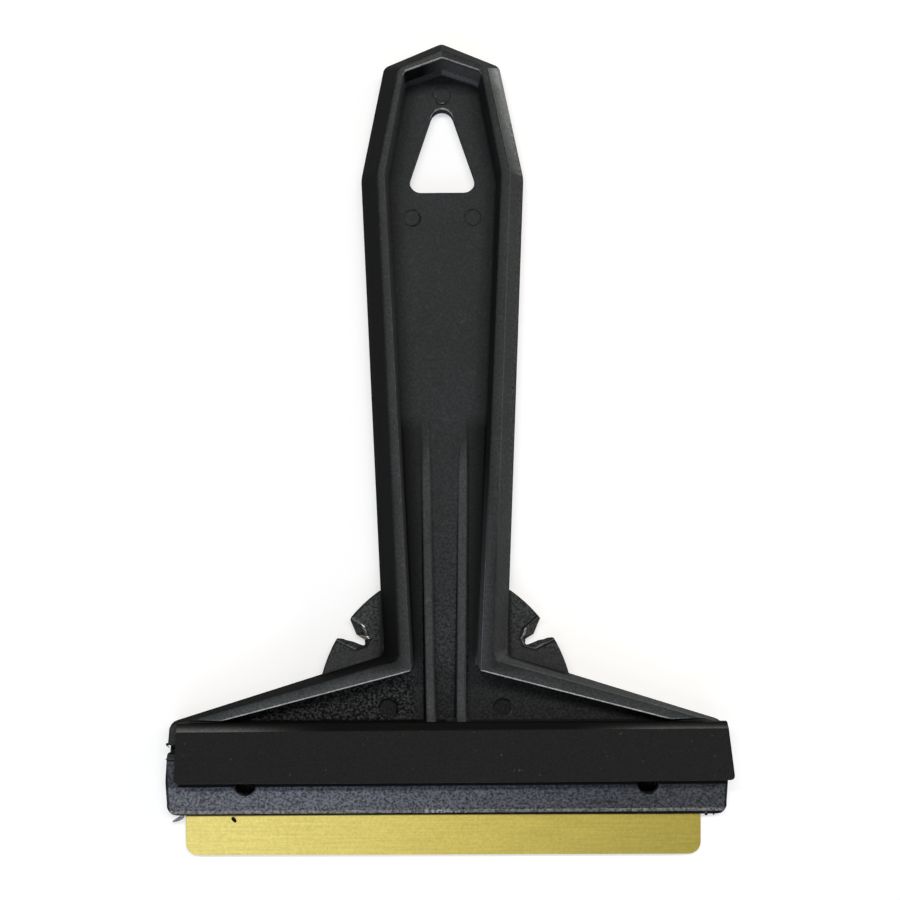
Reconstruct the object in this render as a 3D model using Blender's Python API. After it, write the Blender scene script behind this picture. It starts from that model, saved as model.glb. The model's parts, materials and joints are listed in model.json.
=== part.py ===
# Ice scraper: one moulded body, a brass blade and a rubber squeegee strip.
# It lies on its back: +X right, +Y towards the hanging hole, +Z up out of the open channel.
# The origin is on the flat underside, on the body's centre line. Sizes are in mm.

import math

import bmesh
import bpy
from mathutils import Vector

MM = 0.001
GAP = 0.3           # clearance between touching pieces
OVER = 2.0          # how far a cutter runs past the face it leaves
SUNK = 0.4          # how far a joined piece reaches into the one it grows from

# Main sizes: the head and all that it holds follow the width, and the handle's end with its hole
# follows the length, which runs from the blade's edge to the apex before that is rounded
WIDTH = 119.1
LENGTH = 172.6
BLADE_EDGE_Y = -86.0
APEX_Y = BLADE_EDGE_Y + LENGTH
END_X = WIDTH / 2

# Heights above the table
RIM_Z = 14.0
WIDEST_Z = 4.4      # where the two mould halves meet
FLOOR_Z = 3.4
HEAD_Z = 7.0        # head under the squeegee
LIP_Z = 4.2         # lip, just before its rounded lower edge

# Plan of the body at its widest height, right half
CORNER_X, CORNER_BELOW = 12.2, 5.0          # below the apex
GRIP_X, GRIP_BELOW = 17.2, 28.7
NECK_X, NECK_Y = 13.1, -43.05
SHOULDER_BACK, SHOULDER_Y = 1.15, -57.2     # back from where the head's ends bulge the most
END_Y = -69.5
LIP_BACK, LIP_Y = 0.25, -77.3
CORNER_Y = APEX_Y - CORNER_BELOW
GRIP_Y = APEX_Y - GRIP_BELOW
SHOULDER_X = END_X - SHOULDER_BACK
LIP_X = END_X - LIP_BACK
CORNER_R, GRIP_R, NECK_R, SHOULDER_R, END_R, LIP_R = 1.4, 8.0, 2.0, 1.3, 9.0, 2.1
GRIP_SLOPE = 3.1    # how far the handle's side leans in by the rim
WALL_SLOPE = 0.5    # the same for the shoulders and the ends of the head
RIM_ROUND, RIM_STEPS = 0.9, 3
GRIP_UNDER = 3.6    # rounding under the handle
HEAD_UNDER = 0.9    # rounding under the head
UNDER_STEPS = 5
UNDER_CROWD = 1.5   # above 1, the steps crowd towards the underside, where it curves most

# Channel: steps in from the plan's apex, corner, grip and neck points to its own
APEX_IN = 5.6
CORNER_IN_X, CORNER_IN_Y = 4.2, 3.4
GRIP_IN_X, GRIP_IN_Y = 5.2, 0.6
NECK_IN_X, NECK_IN_Y = 5.9, 1.95
CROSSBAR_Y = -57.4
POCKET_SLOPE = math.tan(math.radians(15.3))
DRAFT = math.tan(math.radians(2.5))
MOUTH_R, TIP_R = 0.4, 0.25      # corners where the pockets start and end
FLOOR_ROUND = 0.4

# The shoulders drop from the rim to this height at their ends
END_Z = 7.4
LEDGE_Y = -56.1     # step that the squeegee lies against

# Head below the squeegee: the flat that is left under the groove, and the lip's rounded edge
HEAD_FLAT = 0.7
LIP_ROUND = 1.2

# Two ribs that grow out of the floor towards the crossbar
RIB_START_Y = 5.5
RIB_START_X, RIB_END_X = 4.05, 3.2
RIB_W, RIB_FOOT = 1.8, 0.3
RIB_BELOW = 0.1     # how far below the floor a rib starts, and below the head it ends

# Hanging hole
HOLE_BELOW, HOLE_TALL, HOLE_BASE_X = 8.3, 23.1, 8.0     # sharp triangle, before its corners are rounded
HOLE_TIP_Y = APEX_Y - HOLE_BELOW
HOLE_BASE_Y = HOLE_TIP_Y - HOLE_TALL
HOLE_TIP_R, HOLE_BASE_R = 2.5, 2.4
HOLE_DRAFT = 0.15
HOLE_STEPS = 8      # facets to each rounded corner

# Wings with a notch that cleans a wiper blade. The notch leans, so its two ends differ.
WING_Z0, WING_Z1 = 1.9, 4.9
WING_R = 31.4
WING_X, WING_Y = -4.15, -55.2       # centre of the right wing's arc
WING_FROM, WING_TO = 55.0, 14.0     # degrees round that centre
WING_STEPS = 16
WING_ROOT = 1.6                     # how far a wing reaches into the body's wall
NOTCH_X, NOTCH_Y = 18.15, -40.3
NOTCH_NEAR = ((3.2, 6.6), (-2.1, 2.9), (-2.6, 1.1), (-1.6, -0.9),
              (1.3, -1.7), (3.3, -0.6), (6.8, 1.2), (9.0, 6.6))
NOTCH_FAR = ((3.6, 6.6), (1.3, 1.1), (-0.7, 0.1), (-1.0, -0.8),
             (1.4, 0.15), (3.0, 0.45), (7.4, 0.5), (9.0, 6.6))

# Squeegee strip and its groove
STRIP_BACK = 1.55                   # back from the head's ends
STRIP_SHIFT = 1.55                  # where it was left along its groove
STRIP_TOP_Y, STRIP_EDGE_Y = -56.65, -68.45
STRIP_THICK, STRIP_EDGE_THICK = 1.9, 1.1
STRIP_TILT = math.radians(20.5)
STRIP_FACET = 1.55
STRIP_BOW = 0.12
BOW_STEPS = 10
STRIP_SKEW = 0.9                    # its right end is cut slightly off square
STRIP_LEAN = 0.4                    # its face and free edge sit this much further up at that end
STRIP_HALF = END_X - STRIP_BACK
STRIP_R, STRIP_STEPS = 0.9, 6
GROOVE_Y = -62.4
OPENING_W = 1.8
CHAMBER_W, CHAMBER_Z0, CHAMBER_Z1 = 3.0, 2.9, 4.9
END_CUT, END_CUT_UP, END_CUT_DOWN = 0.4, 1.6, 2.1    # the head's ends are cut back at the groove

# Brass blade in the lip, and the blind holes left by the pins that held it in the mould
BLADE_BACK = 4.55                   # back from the head's ends, which leaves a blade of 110 mm
BLADE_T, BLADE_Z = 1.0, 1.3
BLADE_SHIFT = -0.75
BLADE_ROOT_Y = -67.0
BLADE_HALF = END_X - BLADE_BACK
BLADE_R, BLADE_ROOT_R = 2.6, 0.5
BLADE_STEPS = 7                     # facets to each rounded corner
PIN_IN, PIN_Y, PIN_R = 12.2, -70.3, 2.35     # in from the ends of a blade that sits in the middle
PIN_FLOOR_Z = 0.6
PIN_CLEAR = 0.5                     # the blade's own holes are this much wider all round
PIN_X = BLADE_HALF - PIN_IN

# Shallow discs left in the floor by the ejector pins
MARK_DEEP, MARK_STEPS = 0.2, 28
TIP_MARK_BELOW, TIP_MARK_R = 10.8, 1.8
HOLE_MARK_X, HOLE_MARK_BELOW, HOLE_MARK_R = 6.45, 5.3, 1.7
HEAD_MARK_X, HEAD_MARK_ABOVE, HEAD_MARK_R = 12.2, 2.8, 2.0


def clear_scene():
    for old in list(bpy.data.objects):
        bpy.data.objects.remove(old, do_unlink=True)


def solid(name, rings):
    """Closed solid through rings of equal length, each a list of (x, y, z) in mm."""
    bm = bmesh.new()
    stacks = [[bm.verts.new(Vector(p) * MM) for p in ring] for ring in rings]
    count = len(stacks[0])
    bm.faces.new(stacks[0])
    bm.faces.new(stacks[-1])
    for low, high in zip(stacks, stacks[1:]):
        for i in range(count):
            j = (i + 1) % count
            bm.faces.new((low[i], low[j], high[j], high[i]))
    bmesh.ops.recalc_face_normals(bm, faces=bm.faces)
    mesh = bpy.data.meshes.new(name)
    bm.to_mesh(mesh)
    bm.free()
    made = bpy.data.objects.new(name, mesh)
    bpy.context.scene.collection.objects.link(made)
    return made


def at_z(points, z):
    return [(p[0], p[1], z) for p in points]


def prism(name, points, z0, z1):
    return solid(name, [at_z(points, z0), at_z(points, z1)])


def bar(name, profile, x0, x1):
    """A (y, z) profile run along X."""
    return solid(name, [[(x, p[0], p[1]) for p in profile] for x in (x0, x1)])


def box(name, low, high):
    corners = [(low[0], low[1]), (high[0], low[1]), (high[0], high[1]), (low[0], high[1])]
    return prism(name, corners, low[2], high[2])


def disc(x, y, radius, steps=40):
    turns = [2 * math.pi * k / steps for k in range(steps)]
    return [(x + radius * math.cos(t), y + radius * math.sin(t)) for t in turns]


def quarter_round(radius, steps=2):
    """Quarter of a circle as (in, up) steps: it leaves straight up and ends running inwards."""
    turns = [math.pi / 2 * k / steps for k in range(steps + 1)]
    return [(radius * (1 - math.cos(t)), radius * math.sin(t)) for t in turns]


def mirrored(half):
    """Closes a right-hand outline, listed from top to bottom, with its mirror image."""
    return list(half) + [(-x, y) for x, y in reversed(half) if x > 0]


def offset(points, insets):
    """Moves side i, from point i to the next, inwards by its own amount. Points run clockwise."""
    count = len(points)
    lines = []
    for i in range(count):
        a = Vector(points[i])
        along = (Vector(points[(i + 1) % count]) - a).normalized()
        lines.append((a + Vector((along.y, -along.x)) * insets[i], along))
    moved = []
    for i in range(count):
        a, u = lines[i - 1]
        b, v = lines[i]
        step = (b - a).cross(v) / u.cross(v)
        moved.append(a + u * step)
    return moved


def rounded(points, radii, steps=5):
    """Turns each corner into an arc of its own radius; 0 leaves it sharp."""
    out = []
    count = len(points)
    for i in range(count):
        here = Vector(points[i])
        if not radii[i]:
            out.append(here)
            continue
        to_last = (Vector(points[i - 1]) - here).normalized()
        to_next = (Vector(points[(i + 1) % count]) - here).normalized()
        half = to_last.angle(to_next) / 2
        reach = radii[i] / math.tan(half)
        centre = here + (to_last + to_next).normalized() * radii[i] / math.sin(half)
        first = here + to_last * reach - centre
        last = here + to_next * reach - centre
        start = math.atan2(first.y, first.x)
        sweep = math.remainder(math.atan2(last.y, last.x) - start, 2 * math.pi)
        for k in range(steps + 1):
            turn = start + sweep * k / steps
            out.append(centre + Vector((math.cos(turn), math.sin(turn))) * radii[i])
    return out


def combine(target, tool, operation):
    step = target.modifiers.new(operation, "BOOLEAN")
    step.operation = operation
    step.solver = "EXACT"
    step.object = tool
    with bpy.context.temp_override(object=target, active_object=target):
        bpy.ops.object.modifier_apply(modifier=step.name)
    bpy.data.objects.remove(tool, do_unlink=True)


def cut(target, tool):
    combine(target, tool, "DIFFERENCE")


def join(target, tool):
    combine(target, tool, "UNION")


def body_plan(slope, wall):
    """Outline of the body, leaning in by slope along the handle and by wall round the head."""
    half = [(0, APEX_Y), (CORNER_X, CORNER_Y), (GRIP_X, GRIP_Y), (NECK_X, NECK_Y),
            (SHOULDER_X, SHOULDER_Y), (END_X, END_Y), (LIP_X, LIP_Y)]
    insets = [slope] * 3 + [wall] * 7 + [slope] * 3
    radii = [CORNER_R, CORNER_R, GRIP_R, NECK_R, SHOULDER_R, END_R, LIP_R]
    return rounded(offset(mirrored(half), insets), radii + radii[:0:-1])


def body_shell():
    """The body before anything is cut: rounded under, widest low down, leaning in to the rim."""
    rings = []
    for k in range(UNDER_STEPS):
        up = (k / UNDER_STEPS) ** UNDER_CROWD
        rest = 1 - math.sqrt(1 - (1 - up) ** 2)
        rings.append(at_z(body_plan(GRIP_UNDER * rest, HEAD_UNDER * rest), WIDEST_Z * up))
    rings.append(at_z(body_plan(0, 0), WIDEST_Z))
    for lean, up in quarter_round(RIM_ROUND, RIM_STEPS):
        rings.append(at_z(body_plan(GRIP_SLOPE + lean, WALL_SLOPE + lean), RIM_Z - RIM_ROUND + up))
    return solid("body", rings)


def cut_head_down(body):
    """Leaves the step, the face under the squeegee and the sloping lip with its rounded edge."""
    above = RIM_Z + OVER
    profile = [(LEDGE_Y, above), (LEDGE_Y, HEAD_Z), (GROOVE_Y - CHAMBER_W / 2 - HEAD_FLAT, HEAD_Z)]
    profile += [(LIP_Y + LIP_ROUND - up, LIP_Z - down) for down, up in quarter_round(LIP_ROUND)]
    profile += [(LIP_Y - OVER, LIP_Z - LIP_ROUND), (LIP_Y - OVER, above)]
    cut(body, bar("head_cut", profile, -END_X - OVER, END_X + OVER))


def cut_shoulders_down(body):
    start = NECK_X - GRIP_SLOPE
    fall = (RIM_Z - END_Z) / (SHOULDER_X - start)
    far = END_X + OVER
    for side in (-1, 1):
        corners = [(start, RIM_Z), (far, RIM_Z - fall * (far - start)), (far, RIM_Z + OVER),
                   (start, RIM_Z + OVER)]
        rings = [[(side * x, y, z) for x, z in corners] for y in (LEDGE_Y - OVER, NECK_Y)]
        cut(body, solid("shoulder_cut", rings))


def cut_channel(body):
    """The recess of the handle, which opens into a pocket behind each shoulder."""
    mouth_x, mouth_y = NECK_X - NECK_IN_X, NECK_Y - NECK_IN_Y
    tip_x = mouth_x + (mouth_y - CROSSBAR_Y) / POCKET_SLOPE
    plan = mirrored([(0, APEX_Y - APEX_IN), (CORNER_X - CORNER_IN_X, CORNER_Y - CORNER_IN_Y),
                     (GRIP_X - GRIP_IN_X, GRIP_Y - GRIP_IN_Y), (mouth_x, mouth_y), (tip_x, CROSSBAR_Y)])
    radii = [CORNER_R, CORNER_R, GRIP_R, MOUTH_R, TIP_R]
    levels = [(FLOOR_Z + up, FLOOR_ROUND - out) for up, out in quarter_round(FLOOR_ROUND)]
    rings = []
    for z, foot in levels + [(RIM_Z + OVER, 0.0)]:
        inset = foot + DRAFT * (RIM_Z - z)
        rings.append(at_z(rounded(offset(plan, [inset] * len(plan)), radii + radii[:0:-1]), z))
    cut(body, solid("channel", rings))


def add_ribs(body):
    """Each rib widens towards its foot and rises from the floor to the head."""
    foot_z = FLOOR_Z - SUNK
    stations = ((RIB_START_X, RIB_START_Y, FLOOR_Z - RIB_BELOW),
                (RIB_END_X, CROSSBAR_Y - SUNK, HEAD_Z - RIB_BELOW))
    half, foot = RIB_W / 2, RIB_W / 2 + RIB_FOOT
    for side in (-1, 1):
        rings = []
        for x, y, z in stations:
            section = [(-foot, foot_z), (foot, foot_z), (half, z), (-half, z)]
            rings.append([(side * x + across, y, up) for across, up in section])
        join(body, solid("rib", rings))


def add_wings(body):
    turns = [math.radians(WING_FROM + (WING_TO - WING_FROM) * k / WING_STEPS) for k in range(WING_STEPS + 1)]
    arc = [(WING_X + WING_R * math.cos(t), WING_Y + WING_R * math.sin(t)) for t in turns]
    end_x = arc[-1][0]
    fall = (NECK_Y - SHOULDER_Y) / (SHOULDER_X - NECK_X)
    plan = arc + [(end_x, NECK_Y - fall * (end_x - NECK_X) - WING_ROOT), (NECK_X, NECK_Y - WING_ROOT),
                  (NECK_X - WING_ROOT, NECK_Y), (NECK_X - WING_ROOT, arc[0][1])]
    for side in (-1, 1):
        wing = prism("wing", [(side * x, y) for x, y in plan], WING_Z0, WING_Z1)
        rings = []
        for notch, z in ((NOTCH_FAR, WING_Z0 - SUNK), (NOTCH_NEAR, WING_Z1 + SUNK)):
            rings.append([(side * (NOTCH_X + x), NOTCH_Y + y, z) for x, y in notch])
        cut(wing, solid("notch", rings))
        join(body, wing)


def cut_hanging_hole(body):
    half = [(0, HOLE_TIP_Y), (HOLE_BASE_X, HOLE_BASE_Y)]
    rings = []
    for z, inset in ((-OVER, HOLE_DRAFT), (FLOOR_Z + OVER, 0.0)):
        plan = offset(mirrored(half), [inset] * 3)
        rings.append(at_z(rounded(plan, [HOLE_TIP_R, HOLE_BASE_R, HOLE_BASE_R], HOLE_STEPS), z))
    cut(body, solid("hanging_hole", rings))


def cut_groove(body):
    """T-shaped groove across the head, open at both ends, where the outline is cut back too."""
    half, wide = OPENING_W / 2, CHAMBER_W / 2
    top = HEAD_Z + OVER
    profile = [(-half, top), (-half, CHAMBER_Z1), (-wide, CHAMBER_Z1), (-wide, CHAMBER_Z0),
               (wide, CHAMBER_Z0), (wide, CHAMBER_Z1), (half, CHAMBER_Z1), (half, top)]
    reach = END_X + OVER
    cut(body, bar("groove", [(GROOVE_Y + y, z) for y, z in profile], -reach, reach))
    for side in (-1, 1):
        near, far = sorted((side * (LIP_X - END_CUT), side * reach))
        cut(body, box("end_cut", (near, GROOVE_Y - END_CUT_DOWN, -OVER), (far, GROOVE_Y + END_CUT_UP, top)))


def cut_lip(body):
    """Slot for the blade, and a blind hole at each place where a pin held it."""
    half = BLADE_HALF + GAP
    low = (BLADE_SHIFT - half, LIP_Y - OVER, BLADE_Z - GAP)
    high = (BLADE_SHIFT + half, BLADE_ROOT_Y + GAP, BLADE_Z + BLADE_T + GAP)
    cut(body, box("slot", low, high))
    for side in (-1, 1):
        cut(body, prism("pin", disc(side * PIN_X, PIN_Y, PIN_R), PIN_FLOOR_Z, HEAD_Z + OVER))


def cut_marks(body):
    marks = [(0.0, APEX_Y - TIP_MARK_BELOW, TIP_MARK_R)]
    for side in (-1, 1):
        marks.append((side * HOLE_MARK_X, HOLE_BASE_Y - HOLE_MARK_BELOW, HOLE_MARK_R))
        marks.append((side * HEAD_MARK_X, CROSSBAR_Y + HEAD_MARK_ABOVE, HEAD_MARK_R))
    for x, y, radius in marks:
        outline = disc(x, y, radius, MARK_STEPS)
        cut(body, prism("mark", outline, FLOOR_Z - MARK_DEEP, FLOOR_Z + FLOOR_ROUND))


def make_body():
    body = body_shell()
    cut_head_down(body)
    cut_shoulders_down(body)
    cut_channel(body)
    add_ribs(body)
    add_wings(body)
    cut_hanging_hole(body)
    cut_groove(body)
    cut_lip(body)
    cut_marks(body)
    return body


def make_blade():
    plan = [(-BLADE_HALF, BLADE_ROOT_Y), (BLADE_HALF, BLADE_ROOT_Y),
            (BLADE_HALF, BLADE_EDGE_Y), (-BLADE_HALF, BLADE_EDGE_Y)]
    plan = rounded(plan, [BLADE_ROOT_R, BLADE_ROOT_R, BLADE_R, BLADE_R], BLADE_STEPS)
    blade = prism("blade", [(x + BLADE_SHIFT, y) for x, y in plan], BLADE_Z, BLADE_Z + BLADE_T)
    for side in (-1, 1):
        outline = disc(side * PIN_X, PIN_Y, PIN_R + PIN_CLEAR)
        cut(blade, prism("hole", outline, BLADE_Z - OVER, BLADE_Z + BLADE_T + OVER))
    return blade


def make_squeegee():
    """Wiping plate that stands off towards its free edge, on a stem with a bead that runs in the groove."""
    rise = math.tan(STRIP_TILT)
    normal = Vector((math.sin(STRIP_TILT), math.cos(STRIP_TILT)))

    def on_plate(y, out):
        back = Vector((y, HEAD_Z + GAP + (STRIP_TOP_Y - y) * rise))
        return back + normal * out

    stem, bead = OPENING_W / 2 - GAP, CHAMBER_W / 2 - GAP
    low, high = CHAMBER_Z0 + GAP, CHAMBER_Z1 - GAP
    half = STRIP_HALF
    past = STRIP_EDGE_Y - OVER
    rings = []
    for x, lean in ((-half - OVER, 0.0), (half + OVER, STRIP_LEAN)):
        facet = STRIP_FACET - lean
        face = on_plate(STRIP_TOP_Y - facet - normal.x * STRIP_THICK, STRIP_THICK)
        profile = [on_plate(STRIP_TOP_Y, 0), Vector((STRIP_TOP_Y, face.y - facet)), face,
                   on_plate(past, STRIP_EDGE_THICK), on_plate(past, 0), on_plate(GROOVE_Y - stem, 0)]
        profile += [Vector((GROOVE_Y + y, z)) for y, z in (
            (-stem, high), (-bead, high), (-bead, low), (bead, low), (bead, high), (stem, high))]
        profile.append(on_plate(GROOVE_Y + stem, 0))
        rings.append([(x + STRIP_SHIFT, p.x, p.y) for p in profile])
    squeegee = solid("squeegee", rings)
    across = [half * (1 - 2 * k / BOW_STEPS) for k in range(BOW_STEPS + 1)]
    edge_line = [(x, STRIP_EDGE_Y + STRIP_BOW * (x / half) ** 2 + STRIP_LEAN * (1 + x / half) / 2)
                 for x in across]
    plan = [(-half, STRIP_TOP_Y + OVER), (half - STRIP_SKEW, STRIP_TOP_Y + OVER)] + edge_line
    radii = [0, 0, STRIP_R] + [0] * (BOW_STEPS - 1) + [STRIP_R]
    trim = [(x + STRIP_SHIFT, y) for x, y in rounded(plan, radii, STRIP_STEPS)]
    combine(squeegee, prism("trim", trim, -OVER, RIM_Z + OVER), "INTERSECT")
    return squeegee


def set_origin(made, origin):
    """Puts the object's origin at a point given in mm, leaving its shape where it is."""
    there = Vector(origin) * MM
    for vertex in made.data.vertices:
        vertex.co -= there
    made.location = there


def dress(made, name, colour, roughness, metallic, smooth_below):
    material = bpy.data.materials.new(name)
    material.use_nodes = True
    shader = material.node_tree.nodes["Principled BSDF"]
    shader.inputs["Base Color"].default_value = (*colour, 1.0)
    shader.inputs["Roughness"].default_value = roughness
    shader.inputs["Metallic"].default_value = metallic
    made.data.materials.clear()
    made.data.materials.append(material)
    for face in made.data.polygons:
        face.use_smooth = True
        face.material_index = 0
    made.data.set_sharp_from_angle(angle=math.radians(smooth_below))


def main():
    clear_scene()
    body = make_body()
    blade = make_blade()
    squeegee = make_squeegee()
    set_origin(squeegee, (STRIP_SHIFT, GROOVE_Y, (CHAMBER_Z0 + CHAMBER_Z1) / 2))
    dress(body, "black moulded plastic", (0.012, 0.013, 0.013), 0.55, 0.0, 25)
    dress(blade, "brass", (0.72, 0.60, 0.24), 0.42, 1.0, 35)
    dress(squeegee, "black rubber", (0.010, 0.010, 0.010), 0.75, 0.0, 20)


main()
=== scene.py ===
# Ice scraper in black polypropylene, with a brass blade and a rubber squeegee, on white card.
# The shapes come from the frame; this script gives them their finish, a few marks of moulding and use, the
# light and the camera.

import json
import math
import random

import bmesh
import bpy
from mathutils import Matrix, Vector

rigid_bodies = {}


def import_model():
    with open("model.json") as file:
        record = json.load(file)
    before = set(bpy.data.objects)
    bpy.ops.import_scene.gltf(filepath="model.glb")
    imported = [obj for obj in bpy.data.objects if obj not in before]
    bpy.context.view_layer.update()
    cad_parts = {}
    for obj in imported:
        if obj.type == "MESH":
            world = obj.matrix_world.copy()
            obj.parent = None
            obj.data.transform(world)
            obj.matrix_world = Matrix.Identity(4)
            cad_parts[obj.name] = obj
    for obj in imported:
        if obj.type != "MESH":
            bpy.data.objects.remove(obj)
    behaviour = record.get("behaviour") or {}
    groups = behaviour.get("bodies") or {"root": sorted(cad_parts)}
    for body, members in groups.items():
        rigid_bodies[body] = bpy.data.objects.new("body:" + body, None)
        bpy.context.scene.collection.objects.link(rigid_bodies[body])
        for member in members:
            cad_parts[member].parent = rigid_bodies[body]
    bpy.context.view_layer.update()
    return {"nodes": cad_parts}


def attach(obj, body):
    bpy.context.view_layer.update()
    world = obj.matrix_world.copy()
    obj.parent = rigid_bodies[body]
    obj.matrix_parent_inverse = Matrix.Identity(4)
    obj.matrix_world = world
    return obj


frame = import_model()
scene = bpy.context.scene
mm = 0.001

for old in list(bpy.data.objects):
    if old.type in ("CAMERA", "LIGHT"):
        bpy.data.objects.remove(old, do_unlink=True)


def linear(hexColour):
    # sRGB hex to the linear colour that Blender's nodes take
    parts = [int(hexColour[i:i + 2], 16) / 255 for i in (1, 3, 5)]
    return tuple(c / 12.92 if c <= 0.04045 else ((c + 0.055) / 1.055) ** 2.4 for c in parts) + (1.0,)


def perMetre(sizeMm):
    # texture scale at which one feature measures sizeMm
    return 1000.0 / sizeMm


def addNode(tree, kind, inputs=None, stops=None, **settings):
    # inputs maps a socket's name or number to a value, or to the node or socket that feeds it;
    # stops are a colour ramp's places and colours
    node = tree.nodes.new("ShaderNode" + kind)
    for name, value in settings.items():
        setattr(node, name, value)
    for key, value in (inputs or {}).items():
        if isinstance(value, bpy.types.Node):
            value = value.outputs[0]
        if isinstance(value, bpy.types.NodeSocket):
            tree.links.new(value, node.inputs[key])
        else:
            node.inputs[key].default_value = value
    for spot, (place, colour) in enumerate(stops or []):
        if spot == len(node.color_ramp.elements):
            node.color_ramp.elements.new(place)
        node.color_ramp.elements[spot].position = place
        node.color_ramp.elements[spot].color = linear(colour)
    return node


def newMaterial(name, metallic, ior, specular):
    material = bpy.data.materials.new(name)
    material.use_nodes = True
    shader = material.node_tree.nodes["Principled BSDF"]
    shader.inputs["Metallic"].default_value = metallic
    shader.inputs["IOR"].default_value = ior
    shader.inputs["Specular IOR Level"].default_value = specular
    return material, material.node_tree, shader


# Slanting lines that the finishes follow are y with a share of x added: along the shoulders, where x counts
# from the middle line either way, and along the lip, which is a little askew
shoulderSlant = 0.274
lipSkew = -0.0037

# Moulded polypropylene with carbon black: a dull black that lifts to charcoal where the light grazes it.
# The spark-eroded mould leaves a fine grain all over, drawn a little coarser than the real 0.2 mm so that
# it shows, and a coarse one low in the head. The edges that face the front lamp get a painted highlight.
plastic = {
    # the pale edge colour is a painted highlight
    "black": "#303233", "dark": "#2c2e2e", "dust": "#474949", "paintedHighlight": "#959491", "underTip": "#32322f",
    # the lip's two greys are partly its own grey and partly painted light, lighter on the left
    "lipLeftGreyAndLight": "#62656b", "lipRightGreyAndLight": "#404246", "specular": 0.11, "ior": 1.49, "roughness": 0.60,
    "roughnessSpread": 0.08, "sideRoughness": 1.0, "fineMm": 0.5, "fineDeepMm": 0.03, "coarseMm": 0.55,
    "coarseDeepMm": 0.12, "blotchMm": 11.0, "speckMm": 1.6, "blackest": 0.08,
    "fineGrain": 0.20, "lipGrainAndGlints": 0.48, "wornGrain": 0.45, "markGrain": 0.35,
    # most amounts from here to the sides paint light and shade into the colour
    "sideShade": 0.35, "farShade": 0.80, "pocketShade": 0.48, "pocketShadeNear": 0.33, "ribTopLight": 0.75,
    "floorShade": 0.45, "markShade": 0.28, "wallShade": 0.42, "wingFootShade": 0.7, "notchEdgeShade": 0.75,
    "rimLightAndShade": 0.45, "tipRimLight": 0.35, "underLipShade": 0.96, "stripShadow": 1.0, "tipSideLight": 7.0, "rightSideLight": 1.5,
    "outwardLight": 3.4, "wallLight": 6.0, "markWallLight": 1.2, "endLeftShade": -0.85, "endRightLight": 3.2,
    "neckFootMm": 13.8,
    "sides": {     # for the left half and the right
        "pocketGrainAndGlints": (1.70, 0.35), "shoulderLight": (1.3, 0.6), "foot": (2.5, 9.0), "notch": (13.0, 10.0),
        "wing": (0.55, 0.12), "highlightHere": (0.6, 1.0), "neckShadeMm": (16.0, 14.4),
    },
}

# Points that a mask can be measured from, in mm, and whether they stand for both sides; then the middle
# line of a rim, on the handle's lower and upper stretch: so much of y, added to so many mm
plasticPoints = {"fromHole": ((0.0, 71.6, 3.2), False), "fromNotch": ((-18.0, -38.0, 5.0), False),
                 "fromMark": ((12.2, -54.24, 3.2), True), "fromNotches": ((18.0, -39.5, 4.0), True)}
plasticRims = {"lower": (0.0438, 10.53), "upper": (-0.18, 23.4)}

# Where each treatment lies: a mask is 0 at its first value and 1 at its second, and soft ones ease in and
# out. Values are in mm, and between -1 and 1 where the mask goes by the way that the surface faces.
plasticMasks = {
    # along the body
    "lip": ("y", -64.0, -66.0, "soft"), "behind": ("y", -43.0, -48.0, "soft"), "tip": ("y", 75.5, 77.0),
    "shortOfHead": ("y", -57.4, -57.0), "below": ("y", 8.0, 5.0), "clearOfLedge": ("y", -56.0, -55.6),
    "towardsHead": ("y", -2.0, -40.0), "ofHandle": ("y", -46.0, -42.0), "atWings": ("y", -24.0, -27.0),
    "onHandle": ("y", -46.5, -43.0, "soft"), "ofHead": ("y", -43.5, -46.0, "soft"),
    # across it
    "toRight": ("x", -58.0, 58.0), "pastWing": ("x", 25.0, 27.0), "outside": ("aside", 4.5, 9.0, "soft"),
    "inChannel": ("aside", 5.4, 4.9, "soft"), "pastRibs": ("aside", 4.3, 4.9),
    "offNeck": ("aside", 13.5, 14.0), "pastNeck": ("aside", 13.2, 13.35),
    # up from the card
    "low": ("z", 4.6, 3.7, "soft"), "raised": ("z", 3.5, 3.9, "soft"), "standing": ("z", 6.0, 7.0),
    "footHigh": ("z", 3.5, 4.0), "underRim": ("z", 13.4, 13.2), "overWing": ("z", 5.5, 8.0),
    "belowEdge": ("z", 4.58, 4.5), "belowFloor": ("z", 3.4, 3.37), "belowRim": ("z", 8.0, 7.2),
    "onWing": ("z", 5.15, 4.95), "rimHigh": ("z", 12.9, 13.4, "soft"), "high": ("z", 7.15, 7.4),
    "aboveMarks": ("z", 3.42, 3.8),
    # along the slanting lines (back at the shoulders, askew at the lip), in from a rim's middle line, and
    # away from points
    "innerEdge": ("back", -41.8, -42.4), "outerSlope": ("back", -42.0, -41.2),
    "offFoot": ("back", -39.4, -39.0),
    "wingOut": ("back", -36.5, -36.0), "wingAll": ("back", -40.2, -39.8), "wingLow": ("back", -39.3, -39.9),
    "shoulderLightRise": ("back", -40.4, -43.0, "soft"), "lipLow": ("askew", -75.75, -76.0, "soft"),
    "underLipShade": ("askew", -76.5, -76.72, "soft"), "underStrip": ("askew", -70.66, -70.42, "soft"),
    "nearWall": ("inside", 4.6, 1.8), "byHole": ("fromHole", 2.9, 2.6), "byNotch": ("fromNotch", 6.5, 6.0),
    "inMark": ("fromMark", 2.2, 1.8), "notchNear": ("fromNotches", 6.0, 5.6),
    # the way the surface faces
    "steep": ("faceZ", 0.65, 0.25, "soft"), "flatter": ("faceZ", 0.12, 0.4, "soft"),
    "offLevel": ("faceZ", 0.95, 0.8), "rounding": ("faceZ", 0.99, 0.96),
    "towards": ("faceY", -0.26, -0.38, "soft"), "uphillSide": ("faceY", 0.06, 0.14, "soft"),
    "upwards": ("faceY", 0.4, 0.7), "awayLeft": ("faceY", -0.1, 0.1),
    "rightSide": ("faceX", 0.7, 0.88, "soft"), "leftwards": ("faceX", -0.4, -0.8),
    "turned": ("faceTurned", 0.16, 0.6, "soft"),
}

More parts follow.
